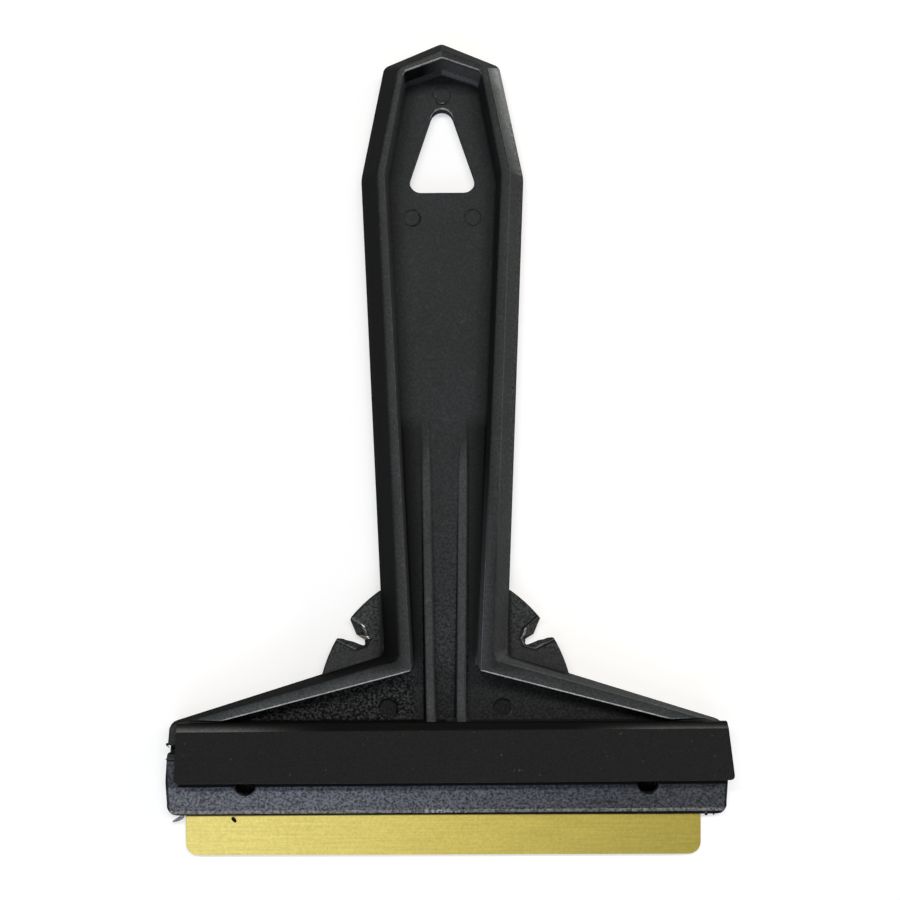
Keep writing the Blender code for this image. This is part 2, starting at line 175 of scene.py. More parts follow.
# The same with other ends than 0 and 1, which are the last two values; speck, coarse and fine are noises
plasticFades = {
    "uphill": ("y", 54.0, 72.0, 0.15, 1.0), "downSlope": ("z", 14.0, 7.0, 0.2, 1.5),
    "nearNeck": ("aside", 54.0, 42.0, 0.2, 1.0), "stripEnd": ("x", -57.0, -56.6, 0.55, 1.0),
    "lipEnd": ("aside", 58.75, 58.95, 0.0, 0.8), "fading": ("x", -58.0, 11.6, 1.0, 0.6),
    "turning": ("y", -5.0, -22.0, 1.0, -1.0),
    "rimLightRise": ("across", -1.4, 1.4, -plastic["rimLightAndShade"], plastic["rimLightAndShade"]),
    "endWallLightAndShade": ("x", -4.0, 1.5, plastic["endLeftShade"], plastic["endRightLight"]),
    "pocketTone": ("x", -30.0, -12.0, -plastic["pocketShade"], -plastic["pocketShadeNear"]),
    "dust": ("speck", 0.56, 0.78, 0.0, 0.5), "patchy": ("speck", 0.36, 0.56, 0.7, 1.0),
    "coarseWave": ("coarse", 0.41, 0.59, -1.0, 1.0), "fineWave": ("fine", 0.38, 0.62, -1.0, 1.0),
}

# Masks that switch at once where x passes so many mm
plasticSteps = {"inRight": 0.0, "beyondRibs": 6.0}

# What these make together, worked from left to right. A difference stops at 0.
plasticBlends = {
    # the pockets' floors, the tops of the ribs and the floor beside them
    "pocketLow": ("MULTIPLY", "low", "behind"), "pocket": ("SUBTRACT", "pocketLow", "lip"),
    "sidePocket": ("MULTIPLY", "pocket", "outside"),
    "ribTop": ("MULTIPLY", "raised", "inChannel", "shortOfHead", "below"),
    "besideRibs": ("MULTIPLY", "pastRibs", "low", "below"), "ribFloor": ("SUBTRACT", "besideRibs", "pocket"),
    "byWall": ("MULTIPLY", "nearWall", "low", "ofHandle"),
    # painted highlights on the edges that face the front lamp, and along the lip's lower edge
    "rimEdge": ("MAXIMUM", "innerEdge", "tip"), "rimTop": ("MULTIPLY", "rimEdge", "standing", "clearOfLedge"),
    "highlightPlaces": ("MAXIMUM", "rimTop", "byHole", "byNotch"),
    "highlightPlacesHere": ("MULTIPLY", "highlightPlaces", "highlightHere"),
    "facingFront": ("MULTIPLY", "towards", "flatter"), "highlightEdge": ("MULTIPLY", "facingFront", "highlightPlacesHere"),
    "lipLine": ("SUBTRACT", "lipLow", "underLipShade"), "lipEdge": ("MULTIPLY", "lipLine", "fading"),
    "highlightAll": ("MAXIMUM", "highlightEdge", "lipEdge"), "paintedHighlight": ("MULTIPLY", "highlightAll", "patchy"),
    # the tip's right side, the foot of its wall and the wall itself, for painted light and shade
    "tipSide": ("MULTIPLY", "uphillSide", "rightSide", "uphill", "downSlope"),
    "footLow": ("SUBTRACT", "footHigh", "standing"), "foot": ("MULTIPLY", "footLow", "tip", "towards"),
    "endWall": ("MULTIPLY", "underRim", "standing", "tip", "towards"),
    "underTip": ("MAXIMUM", "endWall", "foot"),
    # on the right the shoulder's outer slope and the channel's wall near the head, for painted light
    "offWing": ("MAXIMUM", "overWing", "pastWing"),
    "outward": ("MULTIPLY", "upwards", "inRight", "towardsHead", "outerSlope", "offWing"),
    "wall": ("MULTIPLY", "leftwards", "beyondRibs", "towardsHead"),
    # the notches' walls and upper edges, and the sides of the ejector marks, for painted light and shade
    "byNotches": ("MULTIPLY", "notchNear", "offFoot", "offNeck"),
    "notchWall": ("MULTIPLY", "byNotches", "offLevel", "belowEdge"),
    "away": ("MAXIMUM", "awayLeft", "inRight"),
    "notchRound": ("MULTIPLY", "byNotches", "rounding", "away"),
    "notchEdge": ("SUBTRACT", "notchRound", "notchWall"),
    "markWall": ("MULTIPLY", "offLevel", "belowFloor", "ofHandle"),
    # coarse grain between the ribs and on the wings, and painted shade at the wings' feet
    "wornFloor": ("MULTIPLY", "towardsHead", "inChannel", "low"),
    "wornWing": ("MULTIPLY", "wingOut", "offNeck", "belowRim"), "worn": ("MAXIMUM", "wornFloor", "wornWing"),
    "neckFoot": ("MULTIPLY", "neckFade", "pastNeck", "atWings", "onWing", "wingAll"),
    "wing": ("MULTIPLY", "wingAll", "offNeck", "belowRim"), "wingEdge": ("MULTIPLY", "wingLow", "wing"),
    "wingFoot": ("MAXIMUM", "wingEdge", "neckFoot"),
    # painted light and shade across the rims as their crown would catch it, painted light on the shoulders,
    # which rise inwards, towards their inner edges, painted shade under the lip and at its ends, the strip's
    # painted shadow on the lip
    "rimLightAndShade": ("MULTIPLY", "rimLightRise", "rimLightTurn"), "onRim": ("MULTIPLY", "rimHigh", "onHandle"),
    "atTip": ("MULTIPLY", "tip", "standing"),
    "shoulderLight": ("MULTIPLY", "shoulderLightRise", "high", "ofHead", "nearNeck"),
    "lipEndShade": ("MULTIPLY", "lipEnd", "lip"), "lipShade": ("MAXIMUM", "underLipShade", "lipEndShade"),
    "stripShadow": ("MULTIPLY", "underStrip", "lip", "stripEnd"), "turnedLeft": ("MULTIPLY", "turned", "inLeft"),
    "steepSide": ("MULTIPLY", "steep", "aboveMarks"),
}


def polypropylene():
    look = plastic
    material, tree, shader = newMaterial("moulded polypropylene", 0.0, look["ior"], look["specular"])
    coord = addNode(tree, "TexCoord")
    place = coord.outputs["Object"]
    axes = addNode(tree, "SeparateXYZ", {0: place})
    facing = addNode(tree, "SeparateXYZ", {0: coord.outputs["Normal"]})
    aside = addNode(tree, "Math", {0: axes.outputs["X"]}, operation="ABSOLUTE")
    folded = addNode(tree, "CombineXYZ", {0: aside, 1: axes.outputs["Y"], 2: axes.outputs["Z"]})
    leftAndUp = (-0.8, 0.6, 0.0)
    turned = addNode(tree, "VectorMath", {0: coord.outputs["Normal"], 1: leftAndUp}, operation="DOT_PRODUCT")
    blotch = addNode(tree, "TexNoise", {"Vector": place, "Scale": perMetre(look["blotchMm"]), "Detail": 3.0})
    speck = addNode(tree, "TexNoise", {"Vector": place, "Scale": perMetre(look["speckMm"]), "Detail": 4.0,
                                       "Roughness": 0.7})
    fine = addNode(tree, "TexNoise", {"Vector": place, "Scale": perMetre(look["fineMm"]), "Detail": 2.0})
    coarse = addNode(tree, "TexNoise", {"Vector": place, "Scale": perMetre(look["coarseMm"]), "Detail": 3.0,
                                        "Roughness": 0.6})

    # What the masks measure, each with its unit
    measures = {
        "x": (axes.outputs["X"], mm), "y": (axes.outputs["Y"], mm), "z": (axes.outputs["Z"], mm),
        "aside": (aside, mm), "faceX": (facing.outputs["X"], 1.0), "faceY": (facing.outputs["Y"], 1.0),
        "faceZ": (facing.outputs["Z"], 1.0), "faceTurned": (turned.outputs["Value"], 1.0),
        "speck": (speck, 1.0), "fine": (fine, 1.0), "coarse": (coarse, 1.0),
    }
    for name, run, slant in (("back", aside, shoulderSlant), ("askew", axes.outputs["X"], lipSkew)):
        line = addNode(tree, "Math", {0: run, 1: slant, 2: axes.outputs["Y"]}, operation="MULTIPLY_ADD")
        measures[name] = (line, mm)
    for name, (spot, bothSides) in plasticPoints.items():
        start = folded if bothSides else place
        away = addNode(tree, "VectorMath", {0: start, 1: tuple(v * mm for v in spot)}, operation="DISTANCE")
        measures[name] = (away.outputs["Value"], mm)
    rims = [addNode(tree, "Math", {0: axes.outputs["Y"], 1: slant, 2: reach * mm}, operation="MULTIPLY_ADD")
            for slant, reach in plasticRims.values()]
    middle = addNode(tree, "Math", {0: rims[0], 1: rims[1]}, operation="MINIMUM")
    inside = addNode(tree, "Math", {0: middle, 1: aside}, operation="SUBTRACT")
    sign = addNode(tree, "Math", {0: axes.outputs["X"]}, operation="SIGN")
    middle = addNode(tree, "Math", {0: middle, 1: sign}, operation="MULTIPLY")
    across = addNode(tree, "Math", {0: axes.outputs["X"], 1: middle}, operation="SUBTRACT")
    measures["inside"] = (inside, mm)
    measures["across"] = (across, mm)

    # The masks themselves, the values for each side, and what they make together
    at = {}
    for name, (measure, start, full, *soft) in plasticMasks.items():
        value, unit = measures[measure]
        at[name] = addNode(tree, "MapRange",
                           {"Value": value, "From Min": start * unit, "From Max": full * unit},
                           interpolation_type="SMOOTHSTEP" if soft else "LINEAR")
    for name, (measure, start, full, first, last) in plasticFades.items():
        value, unit = measures[measure]
        at[name] = addNode(tree, "MapRange", {"Value": value, "From Min": start * unit,
                                              "From Max": full * unit, "To Min": first, "To Max": last})
    for name, reach in plasticSteps.items():
        at[name] = addNode(tree, "Math", {0: axes.outputs["X"], 1: reach * mm}, operation="GREATER_THAN")
    at["inLeft"] = addNode(tree, "Math", {0: 1.0, 1: at["inRight"]}, operation="SUBTRACT")
    here = {name: addNode(tree, "Mix", {0: at["inRight"], 2: left, 3: right}, data_type="FLOAT")
            for name, (left, right) in look["sides"].items()}
    at["highlightHere"] = here["highlightHere"]
    at["rimLightTurn"] = addNode(tree, "Mix", {0: at["inRight"], 2: 1.0, 3: at["turning"]}, data_type="FLOAT")
    neckShade = addNode(tree, "Math", {0: here["neckShadeMm"], 1: mm}, operation="MULTIPLY")
    at["neckFade"] = addNode(tree, "MapRange", {"Value": aside, "From Min": neckShade,
                                               "From Max": look["neckFootMm"] * mm})
    for name, (operation, first, *others) in plasticBlends.items():
        at[name] = at[first]
        for other in others:
            at[name] = addNode(tree, "Math", {0: at[name], 1: at[other]}, operation=operation,
                               use_clamp=operation == "SUBTRACT")

    # Colour: slow blotches of pigment, the lip greyer and with painted light, lighter on the left, dust in
    # the grain and the painted highlights on the edges
    base = addNode(tree, "ValToRGB", {"Fac": blotch}, [(0.35, look["dark"]), (0.65, look["black"])])
    lipGreyAndLight = addNode(tree, "ValToRGB", {"Fac": at["toRight"]},
                        [(0.25, look["lipLeftGreyAndLight"]), (0.85, look["lipRightGreyAndLight"])])
    colour = base
    for name, over in (("lip", lipGreyAndLight), ("dust", linear(look["dust"])), ("paintedHighlight", linear(look["paintedHighlight"])),
                       ("underTip", linear(look["underTip"]))):
        colour = addNode(tree, "Mix", {"Factor": at[name], 6: colour, 7: over}, data_type="RGBA").outputs[2]

    # Depth of tone: the mould's grain lifts and drops it by a share that differs from place to place; the
    # coarse share partly paints glints of light on the grain, most in the left pocket and on the lip
    pocketGrainAndGlints = addNode(tree, "Mix", {0: at["inMark"], 2: here["pocketGrainAndGlints"], 3: look["markGrain"]},
                          data_type="FLOAT")
    share = addNode(tree, "Math", {0: at["lip"], 1: look["lipGrainAndGlints"]}, operation="MULTIPLY")
    share = addNode(tree, "Math", {0: at["worn"], 1: look["wornGrain"], 2: share}, operation="MULTIPLY_ADD")
    share = addNode(tree, "Mix", {0: at["sidePocket"], 2: share, 3: pocketGrainAndGlints}, data_type="FLOAT")
    tone = addNode(tree, "Math", {0: at["coarseWave"], 1: share, 2: 1.0}, operation="MULTIPLY_ADD")
    tone = addNode(tree, "Math", {0: at["fineWave"], 1: look["fineGrain"], 2: tone}, operation="MULTIPLY_ADD")
    tone = addNode(tree, "Math", {0: tone, 1: look["blackest"]}, operation="MAXIMUM")

    # Then come the places that are lighter or darker than the rest, nearly all of them painted light and
    # shade. Each list makes one factor: 1, and each mask times its amount added to it.
    factors = [
        # painted shade on steep sides, and below it on the sides turned to the left
        [("steepSide", -look["sideShade"])],
        [("turnedLeft", -look["farShade"])],
        # painted shade in the pockets, beside the ribs and by the walls, darker ejector marks, painted light
        # on the rib tops
        [("pocket", at["pocketTone"]), ("ribFloor", -look["floorShade"]), ("inMark", -look["markShade"]),
         ("byWall", -look["wallShade"]), ("ribTop", look["ribTopLight"])],
        # painted light and shade across the rims, more light at the tip, and painted light on the shoulders
        [("rimLightAndShade", at["onRim"]), ("atTip", look["tipRimLight"]), ("shoulderLight", here["shoulderLight"])],
        # painted shade under the lip and at its ends
        [("lipShade", -look["underLipShade"])],
        # the strip's painted shadow on the lip
        [("stripShadow", -look["stripShadow"])],
        # painted light on the tip's right side, right-facing sides, the tip's foot and end wall (painted
        # shade on its left half), the wings, the right shoulder's outer slope, the channel's wall, the notch
        # walls and the ejector marks' walls; painted shade at the wings' feet and on the notch edges
        [("tipSide", look["tipSideLight"]), ("rightSide", look["rightSideLight"]), ("foot", here["foot"]),
         ("endWall", at["endWallLightAndShade"]), ("wing", here["wing"]), ("wingFoot", -look["wingFootShade"]),
         ("outward", look["outwardLight"]), ("wall", look["wallLight"]), ("notchWall", here["notch"]),
         ("notchEdge", -look["notchEdgeShade"]), ("markWall", look["markWallLight"])],
    ]
    for terms in factors:
        factor = 1.0
        for name, amount in terms:
            factor = addNode(tree, "Math", {0: at[name], 1: amount, 2: factor}, operation="MULTIPLY_ADD")
        tone = addNode(tree, "Math", {0: tone, 1: factor}, operation="MULTIPLY")
    colour = addNode(tree, "VectorMath", {0: colour, "Scale": tone}, operation="SCALE")
    tree.links.new(colour.outputs[0], shader.inputs["Base Color"])

    # Relief of the grain
    coarseHeight = addNode(tree, "Math", {0: coarse, 1: share}, operation="MULTIPLY")
    small = addNode(tree, "Bump", {"Strength": 1.0, "Distance": look["fineDeepMm"] * mm, "Height": fine})
    large = addNode(tree, "Bump", {"Strength": 1.0, "Distance": look["coarseDeepMm"] * mm,
                                   "Height": coarseHeight, "Normal": small})
    tree.links.new(large.outputs[0], shader.inputs["Normal"])
    level = addNode(tree, "MapRange", {"Value": fine, "To Min": look["roughness"] - look["roughnessSpread"],
                                       "To Max": look["roughness"] + look["roughnessSpread"]})
    level = addNode(tree, "Mix", {0: at["steep"], 2: level, 3: look["sideRoughness"]}, data_type="FLOAT")
    tree.links.new(level.outputs[0], shader.inputs["Roughness"])
    return material


# Rolled brass, satin from the mill: a greenish yellow with faint roll lines along the sheet, drawn
# coarser than the real ones so that they show, and darker and browner towards the right, partly tarnish
# and partly painted shade in the reflection
brass = {
    "bright": "#efe087", "middle": "#dfcd6c", "tarnishAndShade": "#ccba5a", "roughness": 0.46, "lineMm": 0.45,
    "lineLongMm": 12.0, "lineDeepMm": 0.006, "cloudMm": 9.0, "lineTone": 0.07, "grainMm": 0.5,
    "grainTone": 0.08, "driftMm": 55.0, "cloudShare": 0.12, "lipShadowTone": 0.04, "lipShadowMm": -77.25,
    "pastShadowMm": -77.65, "roughnessSpread": 0.05, "noiseLow": 0.3, "noiseHigh": 0.7, "ior": 1.5,
    "specular": 0.5,
}


def rolledBrass():
    look = brass
    material, tree, shader = newMaterial("rolled brass", 1.0, look["ior"], look["specular"])
    place = addNode(tree, "TexCoord").outputs["Object"]
    axes = addNode(tree, "SeparateXYZ", {0: place})
    along = axes.outputs["X"]
    stretched = addNode(tree, "Mapping", {"Vector": place,
                                          "Scale": (look["lineMm"] / look["lineLongMm"], 1.0, 1.0)})
    lines = addNode(tree, "TexNoise", {"Vector": stretched, "Scale": perMetre(look["lineMm"]), "Detail": 3.0})
    cloud = addNode(tree, "TexNoise", {"Vector": place, "Scale": perMetre(look["cloudMm"]), "Detail": 5.0})
    grain = addNode(tree, "TexNoise", {"Vector": place, "Scale": perMetre(look["grainMm"]), "Detail": 2.0})
    drift = addNode(tree, "MapRange", {"Value": along, "From Min": -look["driftMm"] * mm,
                                       "From Max": look["driftMm"] * mm})
    mixed = addNode(tree, "Mix", {0: look["cloudShare"], 2: drift, 3: cloud}, data_type="FLOAT")
    colour = addNode(tree, "ValToRGB", {"Fac": mixed},
                     [(0.05, look["bright"]), (0.5, look["middle"]), (0.95, look["tarnishAndShade"])])
    low, high = look["noiseLow"], look["noiseHigh"]
    tone = addNode(tree, "MapRange", {"Value": lines, "From Min": low, "From Max": high,
                                      "To Min": 1.0 - look["lineTone"], "To Max": 1.0 + look["lineTone"]})
    fleck = addNode(tree, "MapRange", {"Value": grain, "From Min": low, "From Max": high,
                                       "To Min": -look["grainTone"], "To Max": look["grainTone"]})
    tone = addNode(tree, "Math", {0: tone, 1: fleck}, operation="ADD")
    # painted shadow of the lip on the sheet where it enters the lip, in a line a little askew
    askew = addNode(tree, "Math", {0: along, 1: lipSkew, 2: axes.outputs["Y"]}, operation="MULTIPLY_ADD")
    unshaded = addNode(tree, "MapRange", {"Value": askew, "From Min": look["lipShadowMm"] * mm,
                                       "From Max": look["pastShadowMm"] * mm, "To Min": look["lipShadowTone"]},
                    interpolation_type="SMOOTHSTEP")
    tone = addNode(tree, "Math", {0: tone, 1: unshaded}, operation="MULTIPLY")
    colour = addNode(tree, "VectorMath", {0: colour, "Scale": tone}, operation="SCALE")
    tree.links.new(colour.outputs[0], shader.inputs["Base Color"])
    bump = addNode(tree, "Bump", {"Strength": 1.0, "Distance": look["lineDeepMm"] * mm, "Height": lines})
    tree.links.new(bump.outputs[0], shader.inputs["Normal"])
    rough = addNode(tree, "MapRange", {"Value": cloud, "To Min": look["roughness"] - look["roughnessSpread"],
                                       "To Max": look["roughness"] + look["roughnessSpread"]})
    tree.links.new(rough.outputs[0], shader.inputs["Roughness"])
    return material


# Vulcanised rubber with carbon black: flatter and greener than the plastic, with a few pale specks of talc,
# painted light on the cut top facet towards its ends and painted shade on the rest of it, and a painted
# highlight on the free edge
rubber = {
    # after the talc, the facet's pale colour is painted light and the edge's pale colour a painted highlight
    "black": "#1b1d1c", "dark": "#181a19", "talc": "#6a6d6b", "facetLight": "#626464", "paintedHighlight": "#5c5e5d",
    "roughness": 0.74, "roughnessSpread": 0.06, "cloudMm": 14.0, "speckMm": 1.3, "grainMm": 0.45,
    "grainDeepMm": 0.012, "grainTone": 0.25, "noiseLow": 0.3, "noiseHigh": 0.7, "facetShade": 0.7,
    "ior": 1.52, "specular": 0.12, "talcShare": 0.7,
}

# Its masks, written as the plastic's are; facet and edge go by the way that the surface faces
rubberMasks = {
    "talc": ("speck", 0.66, 0.72), "facet": ("faceY", 0.4, 0.65, "soft"),
    "ends": ("aside", 24.0, 48.0, "soft"), "forward": ("y", -56.7, -58.2, "soft"),
    "edge": ("faceY", -0.05, -0.5, "soft"),
}


def vulcanisedRubber():
    look = rubber
    material, tree, shader = newMaterial("vulcanised rubber", 0.0, look["ior"], look["specular"])
    coord = addNode(tree, "TexCoord")
    place = coord.outputs["Object"]
    axes = addNode(tree, "SeparateXYZ", {0: place})
    facing = addNode(tree, "SeparateXYZ", {0: coord.outputs["Normal"]})
    aside = addNode(tree, "Math", {0: axes.outputs["X"]}, operation="ABSOLUTE")
    cloud = addNode(tree, "TexNoise", {"Vector": place, "Scale": perMetre(look["cloudMm"]), "Detail": 3.0})
    speck = addNode(tree, "TexNoise", {"Vector": place, "Scale": perMetre(look["speckMm"]), "Detail": 5.0,
                                       "Roughness": 0.75})
    grain = addNode(tree, "TexNoise", {"Vector": place, "Scale": perMetre(look["grainMm"]), "Detail": 2.0})
    measures = {"speck": (speck, 1.0), "faceY": (facing.outputs["Y"], 1.0), "aside": (aside, mm),
                "y": (axes.outputs["Y"], mm)}
    at = {}
    for name, (measure, start, full, *soft) in rubberMasks.items():
        value, unit = measures[measure]
        at[name] = addNode(tree, "MapRange",
                           {"Value": value, "From Min": start * unit, "From Max": full * unit},
                           interpolation_type="SMOOTHSTEP" if soft else "LINEAR")
    talc = addNode(tree, "Math", {0: at["talc"], 1: look["talcShare"]}, operation="MULTIPLY")
    # painted light on the top facet towards its ends, painted shade on the rest of the facet
    facetLight = addNode(tree, "Math", {0: at["facet"], 1: at["ends"]}, operation="MULTIPLY")
    facetLight = addNode(tree, "Math", {0: facetLight, 1: at["forward"]}, operation="MULTIPLY")
    colour = addNode(tree, "ValToRGB", {"Fac": cloud}, [(0.35, look["dark"]), (0.65, look["black"])])
    for share, over in ((talc, "talc"), (facetLight, "facetLight"), (at["edge"], "paintedHighlight")):
        colour = addNode(tree, "Mix", {"Factor": share, 6: colour, 7: linear(look[over])},
                         data_type="RGBA").outputs[2]
    tone = addNode(tree, "MapRange", {"Value": grain, "From Min": look["noiseLow"],
                                      "From Max": look["noiseHigh"], "To Min": 1.0 - look["grainTone"],
                                      "To Max": 1.0 + look["grainTone"]})
    shaded = addNode(tree, "Math", {0: at["facet"], 1: facetLight}, operation="SUBTRACT")
    shaded = addNode(tree, "Math", {0: shaded, 1: -look["facetShade"], 2: 1.0}, operation="MULTIPLY_ADD")
    tone = addNode(tree, "Math", {0: tone, 1: shaded}, operation="MULTIPLY")
    colour = addNode(tree, "VectorMath", {0: colour, "Scale": tone}, operation="SCALE")
    tree.links.new(colour.outputs[0], shader.inputs["Base Color"])
    bump = addNode(tree, "Bump", {"Strength": 1.0, "Distance": look["grainDeepMm"] * mm, "Height": grain})
    tree.links.new(bump.outputs[0], shader.inputs["Normal"])
    rough = addNode(tree, "MapRange", {"Value": cloud, "To Min": look["roughness"] - look["roughnessSpread"],
                                       "To Max": look["roughness"] + look["roughnessSpread"]})
    tree.links.new(rough.outputs[0], shader.inputs["Roughness"])
    return material


# Torn polypropylene: a scuff or a broken flash edge goes pale grey where the plastic has been stretched,
# and on these small marks the pale grey is partly a painted glint
torn = {"pale": "#9c9ea1", "dull": "#3c3e41", "roughness": 0.7, "roughnessSpread": 0.1, "fibreMm": 0.35,
        "ior": 1.49, "specular": 0.2}


def tornPolypropylene():
    look = torn
    material, tree, shader = newMaterial("torn polypropylene", 0.0, look["ior"], look["specular"])
    place = addNode(tree, "TexCoord").outputs["Object"]
    fibre = addNode(tree, "TexNoise", {"Vector": place, "Scale": perMetre(look["fibreMm"]), "Detail": 3.0})
    colour = addNode(tree, "ValToRGB", {"Fac": fibre}, [(0.35, look["dull"]), (0.62, look["pale"])])
    tree.links.new(colour.outputs[0], shader.inputs["Base Color"])
    rough = addNode(tree, "MapRange", {"Value": fibre, "To Min": look["roughness"] - look["roughnessSpread"],
                                       "To Max": look["roughness"] + look["roughnessSpread"]})
    tree.links.new(rough.outputs[0], shader.inputs["Roughness"])
    return material


print("materials")
finishes = {"body": polypropylene(), "blade": rolledBrass(), "squeegee": vulcanisedRubber()}
tornFinish = tornPolypropylene()

# Edges as the mould and the press leave them: size of the rounding in mm, on edges sharper than so many
# degrees. Faces that lie within so many degrees of flat are joined first.
edges = {"body": 0.30, "blade": 0.10, "squeegee": 0.12, "sharpAbove": 28, "flatWithin": 0.2,
         "weldWithinMm": 0.001, "segments": 2, "faceWeight": 100}

for name, node in frame["nodes"].items():
    node.data.materials.clear()
    node.data.materials.append(finishes[name])
    weld = node.modifiers.new("weld", "WELD")
    weld.merge_threshold = edges["weldWithinMm"] * mm
    flat = node.modifiers.new("flat faces", "DECIMATE")
    flat.decimate_type = "DISSOLVE"
    flat.angle_limit = math.radians(edges["flatWithin"])
    bevel = node.modifiers.new("edge", "BEVEL")
    bevel.width = edges[name] * mm
    bevel.segments = edges["segments"]
    bevel.limit_method = "ANGLE"
    bevel.angle_limit = math.radians(edges["sharpAbove"])
    bevel.use_clamp_overlap = False     # clamping would thin every edge to suit the shortest one
    fair = node.modifiers.new("flat shading", "WEIGHTED_NORMAL")
    fair.weight = edges["faceWeight"]     # big faces shade as flat right up to their edges
    fair.keep_sharp = True
    print("finish on", name)


def addPiece(name, bm, material, level):
    # a closed little mesh in the frame's own coordinates, riding on the scraper's body
    bmesh.ops.recalc_face_normals(bm, faces=bm.faces)
    mesh = bpy.data.meshes.new(name)
    bm.to_mesh(mesh)
    bm.free()
    mesh.materials.append(material)
    mesh.shade_smooth()
    piece = bpy.data.objects.new(name, mesh)
    scene.collection.objects.link(piece)
    smooth = piece.modifiers.new("smooth", "SUBSURF")
    smooth.levels = smooth.render_levels = level
    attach(piece, "scraper")


def thread(path, across, tall, sides=6):
    # a sliver swept along the path's points, which are in mm; across and tall are its size at each point
    bm = bmesh.new()
    rings = []
    for i, point in enumerate(path):
        ahead = Vector(path[min(i + 1, len(path) - 1)]) - Vector(path[max(i - 1, 0)])
        side = ahead.cross(Vector((0, 0, 1))).normalized()
        up = side.cross(ahead).normalized()
        ring = []
        for k in range(sides):
            turn = 2 * math.pi * k / sides
            out = side * (math.cos(turn) * across[i] / 2) + up * (math.sin(turn) * tall[i] / 2)
            ring.append(bm.verts.new((Vector(point) + out) * mm))
        rings.append(ring)
    for low, high in zip(rings, rings[1:]):
        for k in range(sides):
            bm.faces.new((low[k], low[(k + 1) % sides], high[(k + 1) % sides], high[k]))
    bm.faces.new(rings[0])
    bm.faces.new(rings[-1])
    return bm


leastPull = 0.62         # a crumb's points lie between this share of its radius and all of it


def crumb(centre, size, seed):
    # a torn lump: a ball of facets pulled about at random, in mm
    bm = bmesh.new()
    bmesh.ops.create_icosphere(bm, subdivisions=2, radius=1.0)
    dice = random.Random(seed)
    for vertex in bm.verts:
        pull = dice.uniform(leastPull, 1.0)
        spot = [vertex.co[i] * pull * size[i] / 2 + centre[i] for i in range(3)]
        vertex.co = Vector(spot) * mm
    return bm


# Little ring that the tip's ejector pin left in its mark, open on one side; sizes in mm
pinRing = {"x": -0.1, "y": 76.0, "floorZ": 3.2, "radius": 1.55, "wide": 0.7, "tall": 0.75,
           "openAt": 60, "openDeg": 190, "points": 22, "endThin": 0.35, "endSteep": 6}

ringPath, ringWide, ringTall = [], [], []
for k in range(pinRing["points"] + 1):
    share = k / pinRing["points"]
    turn = math.radians(pinRing["openAt"] + pinRing["openDeg"] / 2 + share * (360 - pinRing["openDeg"]))
    full = min(1.0, pinRing["endSteep"] * min(share, 1 - share))
    taper = pinRing["endThin"] + (1 - pinRing["endThin"]) * full
    ringPath.append((pinRing["x"] + pinRing["radius"] * math.cos(turn),
                     pinRing["y"] + pinRing["radius"] * math.sin(turn), pinRing["floorZ"]))
    ringWide.append(pinRing["wide"] * taper)
    ringTall.append(pinRing["tall"] * taper)
addPiece("pin_ring", thread(ringPath, ringWide, ringTall), finishes["body"], 1)

# Flash that curls out from under the lip's left end, and the thin tail of it that stands by the corner
flash = {"curl": [(-56.0, -77.1, 2.9), (-56.5, -77.7, 2.7), (-57.1, -78.1, 2.6), (-57.8, -78.4, 2.6),
                  (-58.6, -78.7, 2.6)],
         "across": [1.0, 1.1, 1.0, 0.8, 0.4], "tall": [0.6, 0.6, 0.5, 0.4, 0.2]}
addPiece("flash_curl", thread(flash["curl"], flash["across"], flash["tall"]), tornFinish, 1)

# Crumbs of plastic: centre, size in mm, and whether torn pale, partly a painted glint, or left black
crumbs = {
    "end_burr": {"centre": (-58.75, -61.35, 6.8), "size": (0.8, 0.9, 0.7), "pale": False},
    "end_burr_low": {"centre": (-58.5, -61.85, 6.7), "size": (0.5, 0.5, 0.4), "pale": True},
    "tip_fleck": {"centre": (12.22, 70.1, 11.1), "size": (0.35, 0.6, 0.5), "pale": True},
    "lip_nick": {"centre": (55.1, -76.45, 3.95), "size": (0.42, 1.0, 0.25), "pale": True},
    "lip_flake_1": {"centre": (55.3, -77.45, 2.9), "size": (0.9, 0.5, 0.4), "pale": False},
    "lip_flake_2": {"centre": (56.9, -77.4, 2.9), "size": (0.5, 0.45, 0.35), "pale": False},
    "apex_burr": {"centre": (-0.7, 85.95, 4.6), "size": (2.0, 0.45, 0.6), "pale": True},
}
for seed, (name, look) in enumerate(crumbs.items()):
    material = tornFinish if look["pale"] else finishes["body"]
    addPiece(name, crumb(look["centre"], look["size"], seed), material, 1)

# Hair of swarf on the brass, under the lip
swarf = {"path": [(-45.85, -77.8, 2.45), (-45.4, -78.35, 2.5), (-44.9, -78.95, 2.42)],
         "across": [0.9, 1.0, 0.6], "tall": [0.5, 0.6, 0.3]}
addPiece("swarf", thread(swarf["path"], swarf["across"], swarf["tall"]), finishes["body"], 1)
print("small pieces")


# White card under the tool: bright where it is seen, plainer for the light that it throws back
card = {"seen": "#c6c6c6", "thrown": "#8f8f8f", "sizeM": 4.0, "glow": 0.52, "belowMm": 0.05}


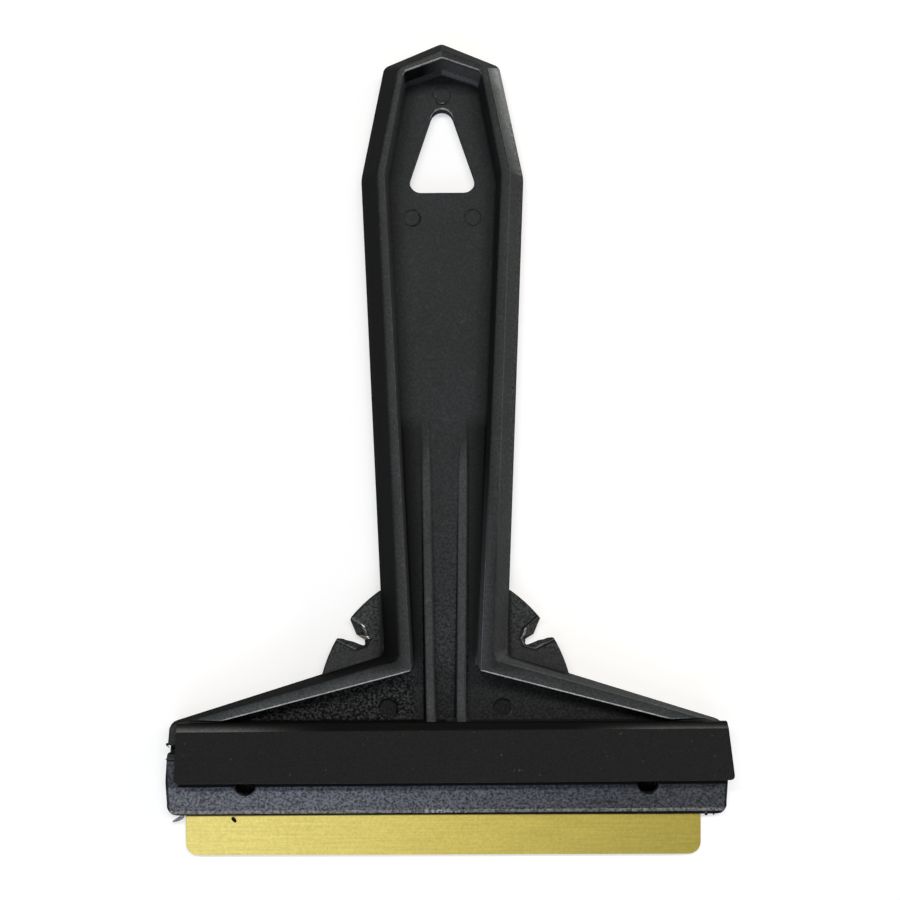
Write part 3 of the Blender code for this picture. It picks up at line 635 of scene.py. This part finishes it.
def whiteCard():
    material = bpy.data.materials.new("white card")
    material.use_nodes = True
    tree = material.node_tree
    tree.nodes.clear()
    path = addNode(tree, "LightPath")
    seen = addNode(tree, "Math", {0: path.outputs["Is Camera Ray"], 1: path.outputs["Is Glossy Ray"]},
                   operation="MAXIMUM")
    seen = addNode(tree, "Math", {0: seen, 1: path.outputs["Is Transmission Ray"]}, operation="MAXIMUM")
    thrown = addNode(tree, "BsdfDiffuse", {"Color": linear(card["thrown"])})
    shown = addNode(tree, "BsdfDiffuse", {"Color": linear(card["seen"])})
    glow = addNode(tree, "Emission", {"Color": (1.0, 1.0, 1.0, 1.0), "Strength": card["glow"]})
    lifted = addNode(tree, "AddShader", {0: shown, 1: glow})
    mixed = addNode(tree, "MixShader", {0: seen, 1: thrown, 2: lifted})
    addNode(tree, "OutputMaterial", {"Surface": mixed})
    mesh = bpy.data.meshes.new("card")
    half = card["sizeM"] / 2
    corners = [(-half, -half, 0), (half, -half, 0), (half, half, 0), (-half, half, 0)]
    mesh.from_pydata(corners, [], [(0, 1, 2, 3)])
    floor = bpy.data.objects.new("card", mesh)
    scene.collection.objects.link(floor)
    floor.location.z = -card["belowMm"] * mm
    mesh.materials.append(material)


whiteCard()
print("card")

# Lamps, each aimed at the middle of the tool: tilt in degrees from straight up, side as the compass bearing
# it leans to (0 is the handle's end, 90 the right), distance and size in metres. The key is a long tube
# along the blade, so that what runs along the handle throws soft shadows and what runs across throws crisp
# ones. Share is the part of full light that the lamp gives to a level white card below it.
lamps = {
    "key": {"tilt": 20, "side": 0, "far": 0.9, "size": (0.8, 0.05), "share": 0.66, "colour": "#fffdf8"},
    "left": {"tilt": 22, "side": 211, "far": 0.9, "size": (0.3, 0.2), "share": 0.06, "colour": "#fffdf8"},
    "front": {"tilt": 50, "side": 186, "far": 0.8, "size": (0.9, 0.3), "share": 0.20, "colour": "#d5e2ff"},
    "right": {"tilt": 66, "side": 72, "far": 0.9, "size": (0.5, 0.35), "share": 0.12, "colour": "#fff6ea"},
}
lampAim = (0.0, -0.01, 0.005)      # in metres
surround = 0.12          # strength of the white world round the set


def addLamp(name, tilt, side, far, size, share, colour):
    light = bpy.data.lights.new(name, "AREA")
    light.shape = "RECTANGLE"
    light.size, light.size_y = size
    light.color = linear(colour)[:3]
    # a small area lamp of so many watts, at this distance and tilt, lights a level card by
    # watts x cos(tilt) / (pi x far x far); a card shows as white when that reaches pi
    lean, rise = math.radians(side), math.radians(tilt)
    light.energy = share * math.pi * math.pi * far * far / math.cos(rise)
    lamp = bpy.data.objects.new(name, light)
    scene.collection.objects.link(lamp)
    aim = Vector(lampAim)
    away = Vector((math.sin(rise) * math.sin(lean), math.sin(rise) * math.cos(lean), math.cos(rise)))
    lamp.location = aim + away * far
    lamp.rotation_euler = away.to_track_quat("Z", "Y").to_euler()


for name, values in lamps.items():
    addLamp(name, **values)

world = bpy.data.worlds.new("studio")
scene.world = world
world.use_nodes = True
world.node_tree.nodes["Background"].inputs["Color"].default_value = (1.0, 1.0, 1.0, 1.0)
world.node_tree.nodes["Background"].inputs["Strength"].default_value = surround
print("light")

# Camera almost straight above, in mm and degrees: it is turned a little and leans a hair, and its shift
# brings the point that is framed to the middle
view = {"x": -3.0, "y": 0.46, "z": 310.0, "turn": -0.36, "lean": 0.6, "focal": 57.6, "sensor": 36.0,
        "framedX": 1.28, "framedZ": 4.4, "nearest": 10.0}

eye = bpy.data.cameras.new("camera")
eye.sensor_width = view["sensor"]
eye.lens = view["focal"]
eye.clip_start = view["nearest"] * mm
aside = (view["framedX"] - view["x"]) / (view["z"] - view["framedZ"]) + math.tan(math.radians(view["lean"]))
eye.shift_x = aside * view["focal"] / view["sensor"]
camera = bpy.data.objects.new("camera", eye)
scene.collection.objects.link(camera)
stand = Matrix.Translation(Vector((view["x"], view["y"], view["z"])) * mm)
turn = Matrix.Rotation(math.radians(view["turn"]), 4, "Z")
lean = Matrix.Rotation(math.radians(view["lean"]), 4, "Y")
camera.matrix_world = stand @ turn @ lean
scene.camera = camera
scene.view_settings.view_transform = "Standard"
print("camera")
